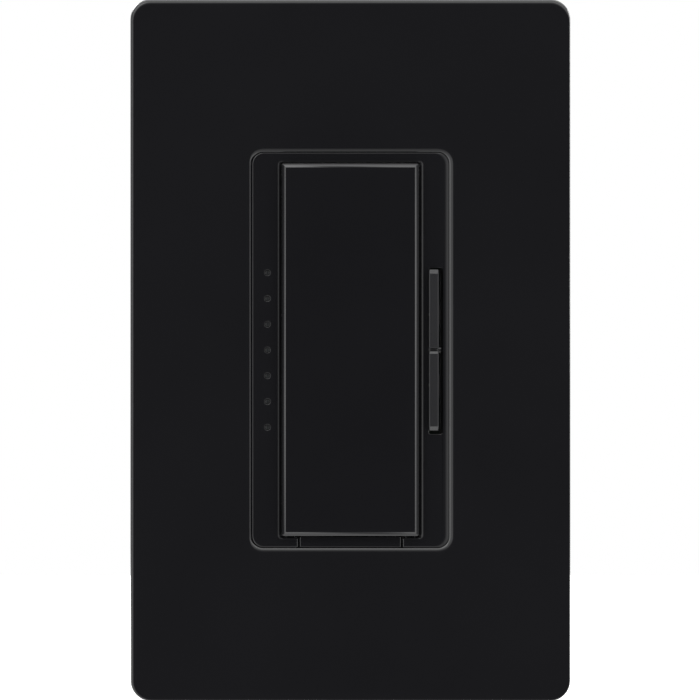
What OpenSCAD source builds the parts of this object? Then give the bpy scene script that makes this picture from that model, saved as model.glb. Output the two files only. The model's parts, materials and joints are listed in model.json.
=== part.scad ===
// Wall dimmer: tap paddle, raise/lower rocker, status lights, air-gap tab and
// clip-on cover plate, with the yoke, the boards and the housing behind them.
// Millimetres. X runs to the right, Y into the wall and Z up. The origin is
// midway between the two box screws on the wall surface, so the front is at -Y.

/* [Cover plate] */
// Width of the cover plate
cover_w = 74.7; // [74:0.1:78]
// Height of the cover plate
cover_h = 119.1; // [118:0.1:123]
// Depth of the cover plate, from the wall to its face
cover_d = 7.6; // [7.4:0.1:7.8]
// Radius of the cover plate's corners
cover_r = 3.4; // [3:0.1:5]
// Thickness of the cover plate's front
cover_front_t = 2; // [1.6:0.1:2.2]
// Thickness of the cover plate's skirt
cover_skirt_t = 1.7; // [1.4:0.1:1.8]
// Width of the opening around the bezel
opening_w = 33.7; // [33.6:0.1:34]
// Height of the opening around the bezel
opening_h = 67.5; // [67.4:0.1:67.8]

/* [Bezel] */
// Width of the bezel
bezel_w = 33.4; // [33.2:0.1:33.4]
// Height of the bezel
bezel_h = 67.2; // [67:0.1:67.2]
// Height of the bezel's face above the wall
bezel_d = 7.3; // [7.2:0.1:7.4]
// Thickness of the bezel's side walls
bezel_wall = 1.3; // [1.2:0.05:1.35]
// Thickness of the bezel's face
bezel_face_t = 0.9; // [0.8:0.05:1]
// Width of the paddle's window
window_w = 23.9; // [23.8:0.1:24.1]
// Height of the paddle's window
window_h = 63.7; // [63.6:0.1:63.8]

/* [Tap paddle] */
// Width of the paddle
paddle_w = 23.2; // [23:0.1:23.4]
// Height of the paddle
paddle_h = 63.15; // [63:0.05:63.2]
// Height of the paddle's face above the wall
paddle_d = 8.9; // [8.7:0.1:9.1]
// Width of the bevel around the paddle's face
paddle_bevel = 0.65; // [0.4:0.05:0.8]
// Height of the paddle's hinge pins above the centre
hinge_z = 30.2; // [30:0.1:30.3]
// Radius of the paddle's hinge pins
hinge_pin_r = 0.8; // [0.7:0.05:0.8]

/* [Dimming rocker] */
// Width of the rocker
rocker_w = 1.62; // [1.5:0.02:1.66]
// Height of the rocker
rocker_h = 27.3; // [27:0.1:27.4]
// Distance of the rocker from the middle
rocker_x = 14.15; // [14.1:0.05:14.3]
// Height of the rocker's face above the wall
rocker_d = 8.4; // [8.1:0.1:8.5]
// Radius of the rocker's pivot pin
rocker_pin_r = 0.6; // [0.5:0.05:0.6]

/* [Status lights] */
// Number of status lights
light_count = 7; // [3:2:7]
// Distance between status lights
light_pitch = 4.37; // [4:0.01:4.4]
// Distance of the status lights from the middle
light_x = 14.07; // [14:0.01:14.1]
// Radius of a status light
light_r = 0.48; // [0.4:0.02:0.5]

/* [Air-gap switch] */
// Width of the pull-out tab
tab_w = 17.2; // [16:0.1:18]
// How far the tab pulls out
tab_travel = 4; // [3.5:0.5:4]
// Width of the tab's flat rod
rod_w = 5; // [4:0.1:5]
// Thickness of the rod
rod_t = 0.9; // [0.8:0.05:0.9]
// How far the rod's ramp lifts the contact leaf
ramp_rise = 1.1; // [1:0.1:1.1]

/* [Yoke] */
// Width of the yoke's strap
yoke_w = 44.5; // [44:0.1:45]
// Height of the yoke
yoke_h = 105.6; // [104:0.1:106]
// Thickness of the yoke
yoke_t = 1.6; // [1.5:0.1:1.6]
// Width across the break-off fins
fin_span = 62; // [60:0.5:66]
// Height of the break-off fins
fin_h = 66; // [60:1:70]
// Distance between the box screws
box_screw_pitch = 83.34; // [83:0.01:84]
// Distance between the cover adapter's screws
adapter_screw_pitch = 96.82; // [96.5:0.01:97]

/* [Rear housing] */
// Width of the rear housing
housing_w = 43.2; // [43:0.1:43.6]
// Height of the rear housing
housing_h = 69; // [69:0.1:70]
// Depth of the rear housing behind the wall surface
housing_d = 28; // [27:0.5:32]
// Thickness of the rear housing's walls
housing_wall = 1.5; // [1.4:0.1:1.6]
// Radius of a push-in wire hole
wire_hole_r = 1.3; // [1.2:0.05:1.4]

/* [Screws] */
// Radius of the box screws' and adapter screws' thread
small_screw_r = 1.75; // [1.7:0.01:1.75]
// Radius of the terminal and ground screws' thread
terminal_screw_r = 2; // [1.9:0.05:2]
// Length of the box screws' shank
box_screw_len = 23; // [18:1:30]

/* [Hidden] */
$fn = 48;

black = [0.09, 0.09, 0.1];
brass = [0.8, 0.62, 0.3];
steel = [0.75, 0.75, 0.77];
thin = 0.01;   // thickness of a hull's end slices
over = 1;      // how far a cutter runs past what it cuts
fit = 0.08;    // clearance around a sliding or turning piece
touch = 0.05;  // gap between a button and what presses it

// cover plate and its adapter
cover_edge = 0.8;
opening_r = 2;
lip_x = 0.45;
lip_z = 0.65;
adapter_t = 1.8;
adapter_front = -yoke_t - adapter_t;
adapter_w = cover_w - 2 * cover_skirt_t - 0.8;
adapter_h = cover_h - 2 * cover_skirt_t - 0.8;
hook_len = 12;
head_seat = -yoke_t - 0.6;
screw_neck_r = 1.3;
hook_reach = 0.9;

// bezel and what it holds
bezel_r = 2;
bezel_edge = 0.4;
bezel_back = -yoke_t;
bezel_inner = -bezel_d + bezel_face_t;
bezel_in_w = bezel_w - 2 * bezel_wall;
bezel_in_h = bezel_h - 2 * bezel_wall;
boss_x = 13.2;
boss_z = 24.5;
boss_r = 2.1;
boss_bore_r = 1.15;
board_front = -3.9;
board_t = 1.2;
sheet_t = 0.25;

// paddle hinge, tap switch and rocker
hinge_y = -5.6;
paddle_front_t = 1.3;
paddle_wall = 1.2;
paddle_back = -6.95;
tap_switch_front = -6.2;
tap_front = -7;
tap_r = 1.6;
side_switch_front = -5.9;
side_switch_x = 13.9;
side_front = -6.5;
side_r = 0.6;
side_z = 6;
rocker_back = side_front - touch;
rocker_slope = 0.7;      // of the facets at its two ends
rocker_notch = 0.4;      // depth of the groove between its halves
rocker_slot = [0.8, 0.95];       // how much its slot is wider and higher than the rocker
rocker_slot_at = [0.3, -0.17];   // and how far it lies off the rocker's middle
lug_half_z = 1.4;

// air-gap switch
tab_top = -window_h / 2 + 0.05;
rod_top = tab_top - 0.03;
rod_end = 8;
ramp_start = 3;
leaf_x = -9;
leaf_z = -30.9;
leaf_t = 0.3;
leaf_w = 3.2;
nub_r = 0.4;
leaf_root_r = 0.35;
post_x = leaf_x - leaf_root_r - fit;
contact_x = 5;
contact_r = 1;

// power side
power_y = 7;
power_t = 1.6;
power_back = power_y + power_t;
power_bottom = -29;
power_top = 32.2;
power_half_w = 19.8;
terminal_z = 13;
terminal_sites = [[1, 1], [1, -1], [-1, 1]];
pocket_half_z = 5.5;
pocket_y0 = 3.2;
pocket_y1 = 14;
pocket_wall = 1.2;
pocket_floor = 17.6;
wire_hole_x = 18.2;
tunnel_r = 2.9;
tunnel_in_r = 2.2;
seat_y = 4.2;
header_z = 20;
header_pins = 8;
header_pitch = 2;
triac_hole_z = -12.4;
triac_lead_z = 4.3;
choke_at = [-6.2, 14.5, -10];
ground_x = 13;
ground_y = 5;
ground_z = -36;

// A flat piece between depths y0 and y1, from an outline drawn in X and Z
module slab(y0, y1) {
    translate([0, y1, 0]) rotate([90, 0, 0]) linear_extrude(y1 - y0) children();
}

// A box given by its lowest and highest corners
module box(low, high) {
    translate(low) cube(high - low);
}

module rod_along_x(r, x0, x1) {
    translate([x0, 0, 0]) rotate([0, 90, 0]) cylinder(r = r, h = x1 - x0);
}

module rod_along_y(r, y0, y1) {
    translate([0, y1, 0]) rotate([90, 0, 0]) cylinder(r = r, h = y1 - y0);
}

// Rectangle with true round corners
module round_rect(w, h, r) {
    square([w - 2 * r, h], center = true);
    square([w, h - 2 * r], center = true);
    for (x = [-1, 1], y = [-1, 1]) translate([x * (w / 2 - r), y * (h / 2 - r)]) circle(r);
}

// A slab whose front edge is chamfered by edge_x across and edge_y deep
module chamfered_slab(w, h, r, y0, y1, edge_x, edge_y) {
    slab(y0 + edge_y, y1) round_rect(w, h, r);
    hull() {
        slab(y0, y0 + thin) round_rect(w - 2 * edge_x, h - 2 * edge_x, max(r - edge_x, 0.1));
        slab(y0 + edge_y, y0 + edge_y + thin) round_rect(w, h, r);
    }
}

// A hole that widens towards the face at y0
module flared_opening(w, h, r, y0, y1, flare_x, flare_z, flare_y) {
    slab(y0 - over, y1) round_rect(w, h, r);
    hull() {
        slab(y0 - thin, y0) round_rect(w + 2 * flare_x, h + 2 * flare_z, r + flare_x);
        slab(y0 + flare_y, y0 + flare_y + thin) round_rect(w, h, r);
    }
}

module at_bosses() {
    for (x = [-1, 1], z = [-1, 1]) translate([x * boss_x, 0, z * boss_z]) children();
}

// One copy per terminal: two on the right, one on the left
module at_terminals() {
    for (s = terminal_sites) translate([0, 0, s[1] * terminal_z]) on_side(s[0]) children();
}

// Mirrors its children to the left when side is -1
module on_side(side) {
    if (side > 0) children();
    else mirror([1, 0, 0]) children();
}

// Cross recess with one long slot, cut from a face at y = 0 down to depth
module drive_recess(half_len, width, depth) {
    translate([-half_len, -over, -width / 2]) cube([2 * half_len, depth + over, width]);
    translate([-width / 2, -over, -half_len * 0.6]) cube([width, depth + over, half_len * 1.2]);
}

// Section of a snap hook that reaches towards -X from its root
module hook_profile() {
    polygon([[0, 0], [-hook_reach, 0.1], [-hook_reach, 0.4], [0, 1]]);
}

module cover_plate() {
    in_x = cover_w / 2 - cover_skirt_t;
    in_z = cover_h / 2 - cover_skirt_t;
    color(black) {
        difference() {
            chamfered_slab(cover_w, cover_h, cover_r, -cover_d, 0, cover_edge, cover_edge);
            slab(-cover_d + cover_front_t, over)
                round_rect(2 * in_x, 2 * in_z, cover_r - cover_skirt_t);
            flared_opening(opening_w, opening_h, opening_r, -cover_d, 0, lip_x, lip_z, 0.6);
            box([-4, -1.2, -cover_h / 2 - over], [4, over, -in_z + over]);
        }
        // collar around the opening
        slab(-cover_d + cover_front_t - 0.2, adapter_front - 0.2) difference() {
            round_rect(opening_w + 2.4, opening_h + 2.4, opening_r + 1.2);
            round_rect(opening_w, opening_h, opening_r);
        }
        // hooks that snap behind the adapter's edge
        for (x = [-1, 1], z = [-32, 32]) {
            translate([x * (in_x + 0.05), -yoke_t + 0.1, z]) on_side(x)
                linear_extrude(hook_len, center = true) hook_profile();
        }
        for (z = [-1, 1]) translate([0, -yoke_t + 0.1, z * (in_z + 0.05)])
            rotate([0, -90 * z, 0]) linear_extrude(hook_len, center = true) hook_profile();
        // ribs across the back of the front
        for (x = [-1, 1], z = [-48, -12, 12, 48]) {
            box([min(x * 19, x * (in_x + 0.1)), -cover_d + cover_front_t - 0.1, z - 0.5],
                [max(x * 19, x * (in_x + 0.1)), adapter_front - 0.4, z + 0.5]);
        }
    }
}

module cover_adapter() {
    color(black) difference() {
        slab(adapter_front, -yoke_t) round_rect(adapter_w, adapter_h, 2);
        slab(adapter_front - over, over) round_rect(34.6, 68.6, 2);
        for (z = [-1, 1]) {
            translate([0, 0, z * box_screw_pitch / 2])
                slab(adapter_front - over, over) round_rect(13, 9.2, 4.5);
            translate([0, 0, z * adapter_screw_pitch / 2]) {
                rod_along_y(small_screw_r + 0.15, adapter_front - over, over);
                translate([0, -yoke_t, 0]) rotate([90, 0, 0])
                    cylinder(r1 = small_screw_r + 0.15, r2 = 3.75, h = adapter_t + thin);
            }
        }
        // weight-saving windows beside the opening
        for (x = [-1, 1], z = [-1, 0, 1]) translate([x * 27, 0, z * 30])
            slab(adapter_front - over, over) round_rect(6, 22, 2);
    }
}

module adapter_screws() {
    color(black) for (z = [-1, 1]) translate([0, 0, z * adapter_screw_pitch / 2]) {
        difference() {
            union() {
                rod_along_y(small_screw_r - 0.05, -yoke_t - 0.2, 6);
                translate([0, -yoke_t - 0.1, 0]) rotate([90, 0, 0])
                    cylinder(r1 = small_screw_r - 0.05, r2 = 3.45, h = 1.6);
                translate([0, -yoke_t - 1.7, 0]) rotate([90, 0, 0])
                    cylinder(r1 = 3.45, r2 = 2.2, h = 0.7);
            }
            translate([0, -yoke_t - 2.4, 0]) drive_recess(5, 0.8, 1);
        }
    }
}

module mounting_yoke() {
    color(steel) {
        difference() {
            slab(-yoke_t, 0) difference() {
                union() {
                    round_rect(yoke_w, yoke_h, 4);
                    round_rect(fin_span, fin_h, 2);
                }
                for (z = [-1, 1]) translate([0, z * box_screw_pitch / 2]) round_rect(6.6, 4, 1.9);
                for (z = [-1, 1]) translate([0, z * adapter_screw_pitch / 2]) circle(small_screw_r);
                for (x = [-1, 1], z = [-1, 1]) translate([x * boss_x, z * boss_z]) circle(1.6);
                // windows: header, air-gap rod, rivet and ground tab
                translate([0, header_z]) round_rect(19, 4, 0.6);
                translate([0, tab_top - 0.35]) square([rod_w + 1, 1.9], center = true);
                translate([0, triac_hole_z]) circle(1.7);
                translate([ground_x, ground_z - 6]) square([10, 9.6], center = true);
            }
            // score lines where the fins break off
            for (x = [-1, 1]) translate([x * (yoke_w / 2 + 0.6), -yoke_t, 0])
                linear_extrude(fin_h + over, center = true)
                    polygon([[-0.5, -0.1], [0.5, -0.1], [0, 0.7]]);
        }
        // bent ground tab
        difference() {
            box([ground_x - 5, -yoke_t, ground_z - 1.2], [ground_x + 5, ground_y + 4.8, ground_z]);
            translate([ground_x, ground_y, ground_z - 1.2 - over])
                cylinder(r = terminal_screw_r + 0.05, h = 1.2 + 2 * over);
        }
    }
}

module box_screws() {
    color(steel) for (z = [-1, 1]) translate([0, 0, z * box_screw_pitch / 2]) {
        difference() {
            union() {
                rod_along_y(screw_neck_r, head_seat - 0.1, 0.1);
                rod_along_y(small_screw_r, 0, head_seat + box_screw_len - 1);
                translate([0, head_seat + box_screw_len, 0]) rotate([90, 0, 0])
                    cylinder(r1 = 1.2, r2 = small_screw_r, h = 1);
                rod_along_y(3.3, head_seat - 1.1, head_seat);
                translate([0, head_seat - 1.1, 0]) rotate([90, 0, 0])
                    cylinder(r1 = 3.3, r2 = 2.5, h = 0.8);
            }
            translate([0, head_seat - 1.9, 0]) drive_recess(4, 0.9, 1);
        }
    }
}

module screw_retainers() {
    color("firebrick") for (z = [-1, 1]) translate([0, 0, z * box_screw_pitch / 2])
        slab(head_seat, -yoke_t) difference() {
            round_rect(8.6, 8.6, 1.5);
            circle(screw_neck_r + 0.1);
        }
}

module bezel() {
    color(black) difference() {
        union() {
            difference() {
                chamfered_slab(bezel_w, bezel_h, bezel_r, -bezel_d, bezel_back, bezel_edge, bezel_edge);
                slab(bezel_inner, over) round_rect(bezel_in_w, bezel_in_h, 0.8);
            }
            at_bosses() rod_along_y(boss_r, bezel_inner - 0.2, bezel_back);
            // hinge lugs beside the paddle
            for (x = [-1, 1]) on_side(x)
                box([12.15, bezel_inner - 0.2, hinge_z - 1.3], [13.7, -4.4, hinge_z + 1.3]);
            // inner bearing of the rocker
            box([12.15, bezel_inner - 0.2, -1.6], [12.8, -4.7, 1.6]);
        }
        flared_opening(window_w, window_h, 0.6, -bezel_d, bezel_inner + 0.1, 0.5, 0.5, 0.5);
        translate([rocker_x + rocker_slot_at[0], 0, rocker_slot_at[1]])
            slab(-bezel_d - over, bezel_inner + 0.1)
                round_rect(rocker_w + rocker_slot[0], rocker_h + rocker_slot[1], 0.3);
        for (i = [0 : light_count - 1]) translate([-light_x, 0, light_place(i)])
            rod_along_y(light_r + 0.02, -bezel_d - over, bezel_inner + 0.1);
        // notch for the tab and channel for its rod
        box([-tab_w / 2 - 0.3, -bezel_d - over, -bezel_h / 2 - over],
            [tab_w / 2 + 0.3, bezel_inner + 0.2, tab_top + 0.2]);
        box([-rod_w / 2 - 0.3, -bezel_d, -bezel_h / 2 - over],
            [rod_w / 2 + 0.3, over, tab_top + 0.2]);
        at_bosses() rod_along_y(boss_bore_r, -5.8, over);
        for (x = [-1, 1]) on_side(x) translate([0, hinge_y, hinge_z])
            rod_along_x(hinge_pin_r + fit, 12, 13.75);
        translate([0, hinge_y, 0]) rod_along_x(rocker_pin_r + fit, 12, bezel_in_w / 2 + 0.9);
    }
}

function light_place(i) = (i - (light_count - 1) / 2) * light_pitch;

module light_pipe() {
    color("whitesmoke") {
        box([-15.1, bezel_inner, light_place(0) - 1.5],
            [-13.05, bezel_inner + 1.2, light_place(light_count - 1) + 1.5]);
        for (i = [0 : light_count - 1]) translate([-light_x, 0, light_place(i)]) {
            rod_along_y(light_r, -bezel_d + 0.15, bezel_inner + 0.1);
            rod_along_y(0.7, bezel_inner + 1.1, -4.8);
        }
    }
}

module status_leds() {
    color("ivory") for (i = [0 : light_count - 1]) translate([-light_x, 0, light_place(i)])
        box([-0.8, -4.7, -0.5], [0.8, board_front, 0.5]);
}

// Board outline that steps around the bezel's screw bosses
module board_outline(w, h) {
    difference() {
        round_rect(w, h, 0.6);
        for (x = [-1, 1], z = [-1, 1]) translate([x * boss_x, z * boss_z]) {
            circle(boss_r + 0.25);
            translate([x * 2.5, 0]) square([5, 2 * boss_r + 0.5], center = true);
        }
    }
}

module header_holes() {
    for (i = [0 : header_pins - 1]) translate([header_place(i), header_z]) circle(0.5);
}

function header_place(i) = (i - (header_pins - 1) / 2) * header_pitch;

module control_board() {
    color("darkgreen") slab(board_front, board_front + board_t) difference() {
        board_outline(bezel_in_w - 0.4, 62.6);
        header_holes();
    }
}

module control_chip() {
    color([0.2, 0.2, 0.2]) {
        translate([0, 0, -14]) slab(board_front - 1, board_front - 0.1) round_rect(7, 7, 0.2);
        for (side = [0 : 3], i = [-3 : 3]) translate([0, 0, -14]) rotate([0, 90 * side, 0])
            box([3.4, board_front - 0.5, i * 0.8 - 0.15], [4.5, board_front, i * 0.8 + 0.15]);
    }
}

module insulator_sheet() {
    color("gold") slab(-yoke_t - sheet_t, -yoke_t) difference() {
        board_outline(bezel_in_w - 0.4, 62.4);
        translate([0, header_z]) round_rect(19, 4, 0.6);
        translate([0, triac_hole_z]) circle(3);
    }
}

module switch_body(w, h, front, bore_r, bore_end) {
    color([0.15, 0.15, 0.15]) difference() {
        slab(front, board_front) round_rect(w, h, 0.4);
        rod_along_y(bore_r, front - over, bore_end);
    }
}

module tap_switch_body() {
    switch_body(6, 6, tap_switch_front, tap_r + fit, -5.4);
}

module raise_switch_body() {
    translate([side_switch_x, 0, side_z]) switch_body(2.6, 3.5, side_switch_front, side_r + fit, -4.7);
}

module lower_switch_body() {
    translate([side_switch_x, 0, -side_z]) switch_body(2.6, 3.5, side_switch_front, side_r + fit, -4.7);
}

module tap_plunger() {
    color("whitesmoke") rod_along_y(tap_r, tap_front, -5.9);
}

module side_plunger() {
    color("whitesmoke") rod_along_y(side_r, side_front, -5.2);
}

module raise_plunger() {
    translate([side_switch_x, 0, side_z]) side_plunger();
}

module lower_plunger() {
    translate([side_switch_x, 0, -side_z]) side_plunger();
}

module tap_paddle() {
    half_w = paddle_w / 2;
    half_h = paddle_h / 2;
    inner = -paddle_d + paddle_front_t;
    color(black) {
        difference() {
            chamfered_slab(paddle_w, paddle_h, 0.3, -paddle_d, paddle_back, paddle_bevel, 0.5);
            slab(inner, 0) square([paddle_w - 2 * paddle_wall, paddle_h - 2 * paddle_wall],
                center = true);
        }
        // stiffening ribs and the post over the tap switch
        for (x = [-5, 5]) box([x - 0.4, inner - 0.1, -half_h + 1], [x + 0.4, paddle_back, half_h - 1]);
        for (z = [-20, -10, 10, 20])
            box([-half_w + 1, inner - 0.1, z - 0.4], [half_w - 1, paddle_back, z + 0.4]);
        rod_along_y(1.5, inner - 0.1, tap_front - touch);
        // hinge arms with their pins, and retaining hooks at the bottom
        for (x = [-1, 1]) on_side(x) {
            box([half_w - paddle_wall, inner, hinge_z - 1.1], [half_w, -4.6, hinge_z + 1.1]);
            translate([0, hinge_y, hinge_z]) rod_along_x(hinge_pin_r, half_w - 0.2, 13.4);
            box([9.4, inner, -half_h], [11, -5.8, -half_h + paddle_wall]);
            box([9.4, bezel_inner + 0.02, -half_h - 0.5], [11, -5.8, -half_h + 0.2]);
        }
    }
}

// Side view of the rocker's cap, as Z and depth
function rocker_outline() = [
    [-rocker_h / 2, rocker_back], [-rocker_h / 2, -rocker_d + rocker_slope],
    [-rocker_h / 2 + rocker_slope, -rocker_d], [-0.3, -rocker_d],
    [-0.15, -rocker_d + rocker_notch], [0.15, -rocker_d + rocker_notch], [0.3, -rocker_d],
    [rocker_h / 2 - rocker_slope, -rocker_d], [rocker_h / 2, -rocker_d + rocker_slope],
    [rocker_h / 2, rocker_back]];

module dimming_rocker() {
    color(black) {
        translate([rocker_x - rocker_w / 2, 0, 0]) rotate([90, 0, 90]) linear_extrude(rocker_w)
            polygon([for (p = rocker_outline()) [p[1], p[0]]]);
        // lug around the pivot pin
        box([13, bezel_inner + 0.3, -lug_half_z], [rocker_x + rocker_w / 2, -4.8, lug_half_z]);
        box([rocker_x - rocker_w / 2, rocker_back - 0.1, -lug_half_z],
            [rocker_x + rocker_w / 2, -4.8, lug_half_z]);
        translate([0, hinge_y, 0]) rod_along_x(rocker_pin_r, 12.2, bezel_in_w / 2 + 0.8);
    }
}

module air_gap_tab() {
    color(black) {
        box([-tab_w / 2, -bezel_d, -bezel_h / 2], [tab_w / 2, bezel_inner, tab_top]);
        box([-rod_w / 2, bezel_inner - 0.1, rod_top - rod_t], [rod_w / 2, rod_end, rod_top]);
        // ramp that lifts the contact leaf
        translate([-1.2, 0, rod_top - 0.1]) rotate([90, 0, 90]) linear_extrude(2.4)
            polygon([[ramp_start - 0.5, 0], [ramp_start, 0.1],
                [ramp_start + tab_travel, ramp_rise + 0.1], [rod_end, ramp_rise + 0.1],
                [rod_end, 0]]);
    }
}

module contact_leaf() {
    color("darkgoldenrod") difference() {
        union() {
            box([leaf_x, ramp_start - leaf_w / 2, leaf_z - leaf_t / 2],
                [contact_x + 1.5, ramp_start + leaf_w / 2, leaf_z + leaf_t / 2]);
            translate([0, ramp_start, rod_top + fit + nub_r]) rod_along_x(nub_r, -1, 1);
            translate([leaf_x, 0, leaf_z])
                rod_along_y(leaf_root_r, ramp_start - leaf_w / 2, ramp_start + leaf_w / 2);
        }
        translate([contact_x, ramp_start, leaf_z - over]) cylinder(r = 0.6, h = 2 * over);
    }
}

module moving_contact() {
    color(steel) translate([contact_x, ramp_start, leaf_z]) {
        translate([0, 0, -leaf_t / 2 - 0.4]) cylinder(r = contact_r, h = 0.4);
        translate([0, 0, -leaf_t / 2 - 0.1]) cylinder(r = 0.58, h = leaf_t + 0.2);
        translate([0, 0, leaf_t / 2]) cylinder(r = 0.9, h = 0.25);
    }
}

module leaf_post() {
    color(brass) {
        box([post_x - 0.6, 1.4, -32], [post_x, 5, -27.6]);
        box([post_x - 2.2, 1.4, -32], [post_x, 4.6, -31.5]);
        box([post_x - 0.6, 4.9, -28.2], [post_x, power_back + 0.9, -27.6]);
    }
}

module fixed_contact() {
    strip_top = leaf_z - leaf_t / 2 - 0.4 - 0.3;
    color(brass) {
        box([3.3, 1.4, strip_top - 0.3], [9.8, 4.6, strip_top]);
        box([9.3, 1.4, strip_top - 0.3], [9.8, 5, -27.6]);
        box([9.2, 4.9, -28.2], [9.8, power_back + 0.9, -27.6]);
        translate([contact_x, ramp_start, strip_top - 0.1]) cylinder(r = contact_r, h = 0.37);
    }
}

module board_header() {
    color([0.12, 0.12, 0.12]) difference() {
        box([-8.6, -1.2, header_z - 1.3], [8.6, 4, header_z + 1.3]);
        for (i = [0 : header_pins - 1]) translate([header_place(i), 0, header_z])
            box([-0.31, -2, -0.31], [0.31, 5, 0.31]);
    }
    color(brass) for (i = [0 : header_pins - 1]) translate([header_place(i), 0, header_z])
        box([-0.3, -4.7, -0.3], [0.3, power_back + 1, 0.3]);
}

module power_board() {
    color("darkgreen") slab(power_y, power_back) difference() {
        translate([-power_half_w, power_bottom])
            square([2 * power_half_w, power_top - power_bottom]);
        for (x = [-1, 1], z = [-1, 1]) translate([x * boss_x, z * boss_z]) circle(tunnel_r + 0.3);
        for (s = terminal_sites) translate([s[0] * 19.5, s[1] * terminal_z])
            square([7, 14], center = true);
        header_holes();
        for (x = [-2.54, 0, 2.54]) translate([x, triac_lead_z]) circle(0.7);
        for (x = [post_x - 0.3, 9.5]) translate([x, -27.9]) circle(0.55);
    }
}

module triac() {
    color([0.16, 0.16, 0.17]) box([-5, sheet_t, -9], [5, 4.65, 0]);
    color(steel) {
        difference() {
            box([-5, sheet_t, -15.5], [5, 1.55, -8.9]);
            translate([0, 0, triac_hole_z]) rod_along_y(1.85, -over, 3);
        }
        for (x = [-2.54, 0, 2.54]) {
            box([x - 0.4, 2.3, -0.1], [x + 0.4, 2.8, triac_lead_z + 0.25]);
            box([x - 0.4, 2.3, triac_lead_z - 0.25], [x + 0.4, power_back + 1, triac_lead_z + 0.25]);
        }
    }
}

module triac_insulator() {
    color("lightgrey") translate([0, 0, -7.5]) slab(0, sheet_t) difference() {
        round_rect(13, 19, 0.5);
        translate([0, triac_hole_z + 7.5]) circle(1.7);
    }
}

module triac_rivet() {
    color(steel) translate([0, 0, triac_hole_z]) {
        rod_along_y(1.6, -yoke_t - 0.1, 1.65);
        rod_along_y(2.6, -yoke_t - 0.7, -yoke_t);
        rod_along_y(2.6, 1.55, 2.2);
    }
}

// Ring of rectangular section with rounded edges, lying square to Y
module ring(r_in, r_out, h) {
    rotate([90, 0, 0]) rotate_extrude() translate([(r_in + r_out) / 2, 0])
        round_rect(r_out - r_in, h, 0.8);
}

module choke_core() {
    color("seagreen") translate(choke_at) ring(4.8, 8.6, 7);
}

module choke_winding() {
    color("peru") translate(choke_at) difference() {
        ring(3.4, 9.6, 9.2);
        ring(4.8, 8.6, 7);
    }
}

module film_capacitor() {
    color("gold") translate([9.5, 0, -10.5]) slab(power_back + 0.1, 20.6) round_rect(6, 13, 0.5);
    color(steel) for (z = [-15.5, -5.5]) translate([9.5, 0, z])
        rod_along_y(0.3, power_back, power_back + 0.2);
}

module electrolytic_capacitor() {
    color("midnightblue") translate([-9.5, 0, 11.5]) {
        rod_along_y(4, power_back + 0.3, 20.6);
        for (x = [-1.25, 1.25]) translate([x, 0, 0]) rod_along_y(0.3, power_back, power_back + 0.4);
    }
}

module varistor() {
    color("orangered") translate([3, 0, 12]) {
        translate([0, power_back + 6.3, 0]) rod_along_x(4.6, -1.7, 1.7);
        for (z = [-2.5, 2.5]) translate([0, 0, z]) rod_along_y(0.3, power_back, power_back + 3);
    }
}

module line_fuse() {
    color("tan") translate([0, power_back + 2.4, -24]) {
        rod_along_x(1.6, -4, 4);
        for (x = [-1, 1]) {
            rod_along_x(0.3, min(x * 3.9, x * 5.6), max(x * 3.9, x * 5.6));
            translate([x * 5.3, 0, 0]) rod_along_y(0.3, -2.4, 0.2);
        }
    }
}

module power_resistors() {
    color("skyblue") for (z = [26, 29.5]) translate([0, power_back + 1.9, z]) {
        rod_along_x(1.3, -3.3, 3.3);
        for (x = [-1, 1]) {
            rod_along_x(0.3, min(x * 3.2, x * 5.2), max(x * 3.2, x * 5.2));
            translate([x * 4.9, 0, 0]) rod_along_y(0.3, -1.9, 0.2);
        }
    }
}

module terminal_plates() {
    color(brass) at_terminals() difference() {
        box([pocket_floor, 4, -4.4], [pocket_floor + 1.2, 13.2, 4.4]);
        translate([0, 8.6, 0]) rod_along_x(terminal_screw_r + 0.05, pocket_floor - over, 20);
    }
}

module terminal_screws() {
    color(brass) at_terminals() translate([19.3, 8.6, 0]) rotate([0, 0, 90]) binding_screw(2.9);
}

// Slotted binding screw: its head lies towards -Y and its shank towards +Y
module binding_screw(shank) {
    difference() {
        union() {
            rod_along_y(terminal_screw_r, -0.1, shank);
            rod_along_y(3.9, -1.3, 0);
            translate([0, -1.3, 0]) rotate([90, 0, 0]) cylinder(r1 = 3.9, r2 = 3.2, h = 0.7);
        }
        translate([0, -2, 0]) drive_recess(5, 1, 1.1);
    }
}

module wire_clamps() {
    color(steel) at_terminals() difference() {
        box([16.2, 15.4, -2.4], [19.9, 18.6, 2.4]);
        box([15, 15.8, -2], [21, 18.2, 2]);
        translate([wire_hole_x, 0, 0]) rod_along_y(wire_hole_r, 17, 20);
    }
}

module ground_screw() {
    color("green") translate([ground_x, ground_y, ground_z - 1.6]) rotate([90, 0, 0])
        binding_screw(2.6);
}

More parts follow.
